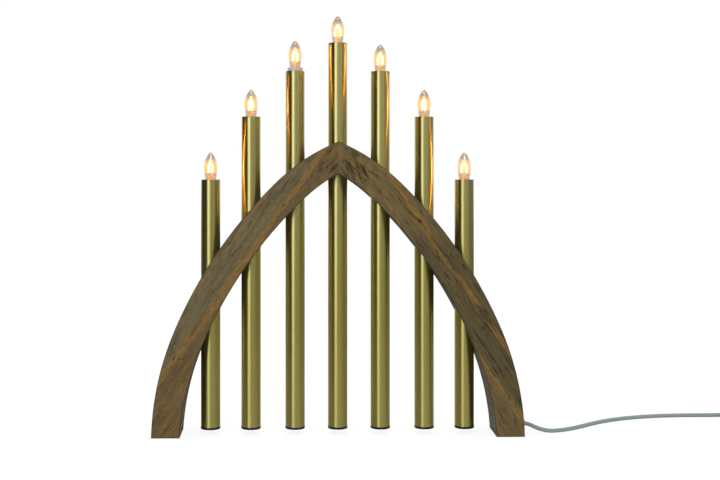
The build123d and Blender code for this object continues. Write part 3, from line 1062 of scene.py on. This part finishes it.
    def floor_paint(self) -> bpy.types.Material:
        """Make the floor's paint: white with the object's soft shadow, and a painted pool of light
        in reflections.

        Returns:
            The material.
        """
        paint = bpy.data.materials.new("white_floor_paint")
        paint.use_nodes = True
        tree = paint.node_tree
        tree.nodes.clear()
        path, seen = sight_rays(tree)
        place = add_node(tree, "ShaderNodeTexCoord").outputs["Object"]
        away = add_node(
            tree, "ShaderNodeVectorMath", {"operation": "LENGTH"}, {0: place}
        ).outputs["Value"]
        # Painted pool of light: in reflections the floor fades from bright round the object to dark.
        mirrored = add_node(
            tree, "ShaderNodeMapRange", inputs=self.floor_light_pool.inputs(away)
        ).outputs["Result"]
        tone = add_node(
            tree,
            "ShaderNodeMix",
            COLOUR_MIX,
            {
                MIX_FACTOR: path.outputs["Is Glossy Ray"],
                MIX_UNDER: linear(self.floor_tone),
                MIX_OVER: mirrored,
            },
        ).outputs[MIX_RESULT]
        plain = add_node(tree, "ShaderNodeBsdfDiffuse", inputs={"Color": tone})
        shaded = add_node(tree, "ShaderNodeBsdfDiffuse", inputs={"Color": linear(self.floor_shaded)})
        white = add_node(tree, "ShaderNodeEmission", inputs={"Strength": self.floor_white})
        bright = add_node(
            tree,
            "ShaderNodeAddShader",
            inputs={0: shaded.outputs["BSDF"], 1: white.outputs["Emission"]},
        )
        shown = add_node(
            tree,
            "ShaderNodeMixShader",
            inputs={0: seen, 1: plain.outputs["BSDF"], 2: bright.outputs["Shader"]},
        )
        add_node(tree, "ShaderNodeOutputMaterial", inputs={"Surface": shown.outputs["Shader"]})
        return paint

    def add_floor(self) -> None:
        """Add the pale floor."""
        shape = bmesh.new()
        bmesh.ops.create_grid(shape, x_segments=1, y_segments=1, size=self.floor_half)
        mesh = bpy.data.meshes.new("floor")
        shape.to_mesh(mesh)
        shape.free()
        mesh.materials.append(self.floor_paint())
        floor = bpy.data.objects.new("floor", mesh)
        bpy.context.scene.collection.objects.link(floor)

    def build(self) -> None:
        """Set up the whole studio."""
        self.set_camera()
        self.set_world()
        self.add_floor()
        self.add_lamp("softbox", self.softbox_place, self.softbox_size, self.softbox_watts)
        self.add_lamp("fill", self.fill_place, self.fill_size, self.fill_watts)


@dataclass
class MainsCord:
    """Grey two-core cord from the right leg to its coil and plug."""

    diameter_mm: float = 4.2
    length: float = 1.8132
    exit_place: Point = (0.1915, 0.0, 0.0094)
    run_mm: tuple[Point, ...] = (
        (184.5, 0, 9.4),
        (194, 0, 9.4),
        (203, -3, 4.8),
        (215, -5.8, 2.1),
        (233.5, 0.8, 2.1),
        (252, 14.5, 2.1),
        (273, 34, 2.1),
        (303, 53, 2.1),
        (340, 65, 2.1),
        (377, 69, 2.1),
        (409, 68, 2.1),
        (431, 65.9, 3.4),
        (451.8, 65.9, 3.4),
    )
    tail_mm: tuple[Point, ...] = (
        (460.2, 63.15, 18.7),
        (478, 63.15, 18.7),
        (495, 57, 13.6),
        (505, 42, 9),
        (507, 24, 6.85),
        (507, 6, 6.85),
    )
    coil_centre_mm: tuple[float, float] = (456.0, 35.0)
    coil_radius_mm: float = 30.9
    coil_floor_mm: float = 3.4
    coil_pitch_mm: float = 5.5
    layer_pitch_mm: float = 5.1
    layers: int = 4
    layer_half_turns: int = 4
    points_per_half_turn: int = 8
    bevel_rings: int = 4
    steps_per_point: int = 4

    def coil_ends(self) -> list[tuple[float, float]]:
        """Give the radius and height at each end of the coil's half turns.

        Returns:
            Pairs of radius and height, in millimetres.
        """
        radius, height = self.coil_radius_mm, self.coil_floor_mm
        ends = [(radius, height)]
        step = -self.coil_pitch_mm / 2
        for layer in range(self.layers):
            if layer > 0:
                height += self.layer_pitch_mm
                ends.append((radius, height))
            # The lowest layer has one half turn more than the others.
            for _ in range(self.layer_half_turns + (layer == 0)):
                radius += step
                ends.append((radius, height))
            step = -step
        return ends

    def coil_points(self) -> list[Vector]:
        """Give the control points of the coil's turns, clockwise from above.

        Returns:
            Control points in millimetres, just outside the turns that they shape.
        """
        points = []
        ends = self.coil_ends()
        centre = Vector((*self.coil_centre_mm, 0))
        step = math.pi / self.points_per_half_turn
        for index, (start, end) in enumerate(zip(ends, ends[1:])):
            sign = -1 if index % 2 else 1
            first = centre + Vector((0, sign * start[0], start[1]))
            last = centre + Vector((0, -sign * end[0], end[1]))
            middle = (first + last) / 2
            bulge = Vector((sign * (last - first).length / 2, 0, 0))
            for place in range(self.points_per_half_turn):
                angle = (place + 0.5) * step
                swing = (first - middle) * math.cos(angle) + bulge * math.sin(angle)
                points.append(middle + swing / math.cos(step / 2))
        return points

    def build(self) -> None:
        points = [Vector(point) for point in self.run_mm]
        points += self.coil_points()
        points += [Vector(point) for point in self.tail_mm]
        curve = bpy.data.curves.new("mains_cord", "CURVE")
        curve.dimensions = "3D"
        curve.bevel_depth = self.diameter_mm / 2 * MM
        curve.bevel_resolution = self.bevel_rings
        curve.resolution_u = self.steps_per_point
        curve.use_fill_caps = True
        spline = curve.splines.new("NURBS")
        spline.points.add(len(points) - 1)
        for knot, point in zip(spline.points, points):
            knot.co = (*(point * MM), 1)
        spline.order_u = 3
        spline.use_endpoint_u = True
        curve.materials.append(CORD_GREY.material())
        cord = bpy.data.objects.new("mains_cord", curve)
        bpy.context.scene.collection.objects.link(cord)
        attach(cord, ARCH_BODY)
        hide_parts("cord_run", "cord_coil", "cord_tail")
        dress_node("cord_grip", CORD_GREY)
        dress_node("cord_tie", TIE_BLACK)
        dress_node("plug_body", PLUG_GREY)
        dress_node("plug_pins", PIN_NICKEL)
        LOG.info("laid the mains cord")


@dataclass
class WoodenArch:
    """Two mitred arms of the arch, with the dowels, cover strips and leads in them."""

    def build(self) -> None:
        """Dress the arms, each with the grain of its own plank."""
        for side, finish in ((Side.LEFT, PINE_LEFT), (Side.RIGHT, PINE_RIGHT)):
            name = side.name.lower()
            dress_node(f"arch_{name}_arm", finish)
            dress_node(f"groove_covers_{name}", finish)
        dress_node("apex_dowels", BEECH)
        dress_node("series_leads", LEAD_WHITE)
        dress_node("supply_leads", LEAD_WHITE)


@dataclass
class BrassTubes:
    """Seven tubes with their end caps and lampholders."""

    def build(self) -> None:
        """Dress the tubes and what is fitted in their ends."""
        for number in CANDLE_NUMBERS:
            dress_node(f"candle_tube_{number}", TUBE_BRASS)
            dress_node(f"lampholder_{number}", HOLDER_WHITE)
        dress_node("tube_end_caps", BLACK_CAP)
        dress_node("holder_screw_shells", CONTACT_BRASS)
        dress_node("holder_contacts", CONTACT_BRASS)


@dataclass
class CandleBulb:
    """Screw-in candle bulb with clear glass and a lit filament."""

    number: int
    filament_degrees: float
    glass_height_mm: float = 27.5
    # Distance from the axis and height above the seat of each corner.
    outer_mm: tuple[tuple[float, float], ...] = (
        (4.9, -4.5),
        (4.95, -2.0),
        (5.4, 0.0),
        (6.4, 6.6),
        (7.0, 12.8),
        (6.55, 17.3),
        (5.05, 21.6),
        (3.45, 24.6),
        (1.9, 26.5),
        (0.7, 27.4),
        (0.0, 27.5),
    )
    inner_mm: tuple[tuple[float, float], ...] = (
        (0.0, 26.9),
        (0.6, 26.8),
        (1.6, 25.9),
        (3.0, 24.2),
        (4.5, 21.3),
        (5.95, 17.1),
        (6.4, 12.8),
        (5.8, 6.7),
        (4.8, 0.0),
        (4.35, -2.0),
        (4.3, -4.5),
    )
    stem_mm: tuple[tuple[float, float], ...] = (
        (0.0, 5.6),
        (1.3, 5.6),
        (1.7, 5.0),
        (1.6, -1.0),
        (2.0, -2.6),
        (4.1, -4.3),
        (4.1, -4.8),
        (0.0, -4.8),
    )
    lead_spacing_mm: float = 2.4
    lead_heights_mm: tuple[float, ...] = (5.2, 6.0, 7.0, 7.8)
    lead_radius_mm: float = 0.25
    lead_rings: int = 1
    filament_width_mm: float = 5.6
    filament_foot_mm: float = 7.4
    filament_top_mm: float = 16.0
    coil_radius_mm: float = 0.5
    coil_pitch_mm: float = 0.5
    coil_points: int = 8
    wire_radius_mm: float = 0.15
    wire_rings: int = 0
    spin_steps: int = 32
    smooth_levels: int = 2
    lamp_colour: str = "#FF9600"
    lamp_watts: float = 0.2
    lamp_height_mm: float = 12.0
    lamp_radius_mm: float = 4.0
    seat: Vector = field(init=False)

    def __post_init__(self) -> None:
        """Find the place on the bulb's axis from which its heights are measured."""
        low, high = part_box(f"bulb_glass_{self.number}")
        middle = (low + high) / 2
        self.seat = Vector((middle.x, middle.y, high.z - self.glass_height_mm * MM))

    def turned(self, across_mm: float, height_mm: float, front_mm: float = 0) -> Vector:
        """Give a place in the filament's plane.

        Args:
            across_mm: Distance across the plane from the bulb's axis.
            height_mm: Height above the seat.
            front_mm: Distance out of the plane.

        Returns:
            The place, in metres.
        """
        turn = Matrix.Rotation(math.radians(self.filament_degrees), 3, "Z")
        return self.seat + turn @ (Vector((across_mm, front_mm, height_mm)) * MM)

    def filament_points(self) -> list[Vector]:
        """Give the points of the coiled filament, which is bent to an inverted U.

        Returns:
            Points of its wire, in metres.
        """
        half = self.filament_width_mm / 2
        leg = self.filament_top_mm - half - self.filament_foot_mm
        length = 2 * leg + math.pi * half
        count = int(length / self.coil_pitch_mm * self.coil_points)
        points = []
        for index in range(count + 1):
            run = length * index / count
            swing = math.tau * index / self.coil_points
            out = self.coil_radius_mm * math.cos(swing)
            front = self.coil_radius_mm * math.sin(swing)
            if run < leg:
                across, height = -half - out, self.filament_foot_mm + run
            elif run > length - leg:
                across, height = half + out, self.filament_foot_mm + length - run
            else:
                bend = math.pi - (run - leg) / half
                across = (half + out) * math.cos(bend)
                height = self.filament_foot_mm + leg + (half + out) * math.sin(bend)
            points.append(self.turned(across, height, front))
        return points

    def build_glass(self) -> None:
        """Blow the glass as a thin closed shell."""
        finish = LampGlass(f"blown_lamp_glass_{self.number}", self.seat.z, self.glass_height_mm)
        body = f"bulb_{self.number}"
        name = f"{body}_glass"
        profile = [*self.outer_mm, *self.inner_mm]
        mesh = spun_mesh(name, profile, self.spin_steps, self.seat)
        glass = add_piece(name, mesh, finish, body, [f"bulb_glass_{self.number}"])
        smooth = glass.modifiers.new("round", "SUBSURF")
        smooth.levels = self.smooth_levels
        smooth.render_levels = self.smooth_levels
        glass.visible_shadow = False

    def build_filament(self) -> None:
        """Mount the stem, the lead wires and the filament."""
        body = f"bulb_{self.number}"
        stem = spun_mesh(f"{body}_stem", self.stem_mm, self.spin_steps, self.seat)
        add_piece(f"{body}_stem", stem, STEM, body, [f"bulb_filament_{self.number}"])
        for side in Side:
            foot = side.value * self.lead_spacing_mm / 2
            head = side.value * self.filament_width_mm / 2
            across = (foot, foot, head, head)
            path = [self.turned(*place) for place in zip(across, self.lead_heights_mm)]
            name = f"{body}_lead_{side.name.lower()}"
            mesh = wire_mesh(name, path, self.lead_radius_mm, self.lead_rings)
            add_piece(name, mesh, LEAD_NICKEL, body)
        name = f"{body}_filament"
        mesh = wire_mesh(name, self.filament_points(), self.wire_radius_mm, self.wire_rings)
        add_piece(name, mesh, TUNGSTEN, body)

    def add_glow(self) -> None:
        """Add the lamp that sends the filament's light to the brass."""
        lamp = bpy.data.lights.new(f"bulb_{self.number}_glow", "POINT")
        lamp.energy = self.lamp_watts
        lamp.color = linear(self.lamp_colour)[:3]
        lamp.shadow_soft_size = self.lamp_radius_mm * MM
        holder = bpy.data.objects.new(lamp.name, lamp)
        holder.location = self.turned(0, self.lamp_height_mm)
        holder.visible_camera = False
        holder.visible_diffuse = False
        holder.visible_transmission = False
        bpy.context.scene.collection.objects.link(holder)

    def build(self) -> None:
        """Make the whole bulb."""
        self.build_glass()
        self.build_filament()
        self.add_glow()
        dress_node(f"bulb_cap_{self.number}", CAP_BRASS)
        dress_node(f"bulb_tip_{self.number}", INSULATOR)


def main() -> None:
    """Build the studio and every piece of the object, in order."""
    Studio().build()
    MainsCord().build()
    WoodenArch().build()
    BrassTubes().build()
    for number, degrees in zip(CANDLE_NUMBERS, FILAMENT_DEGREES):
        CandleBulb(number, degrees).build()


if __name__ == "__main__":
    main()
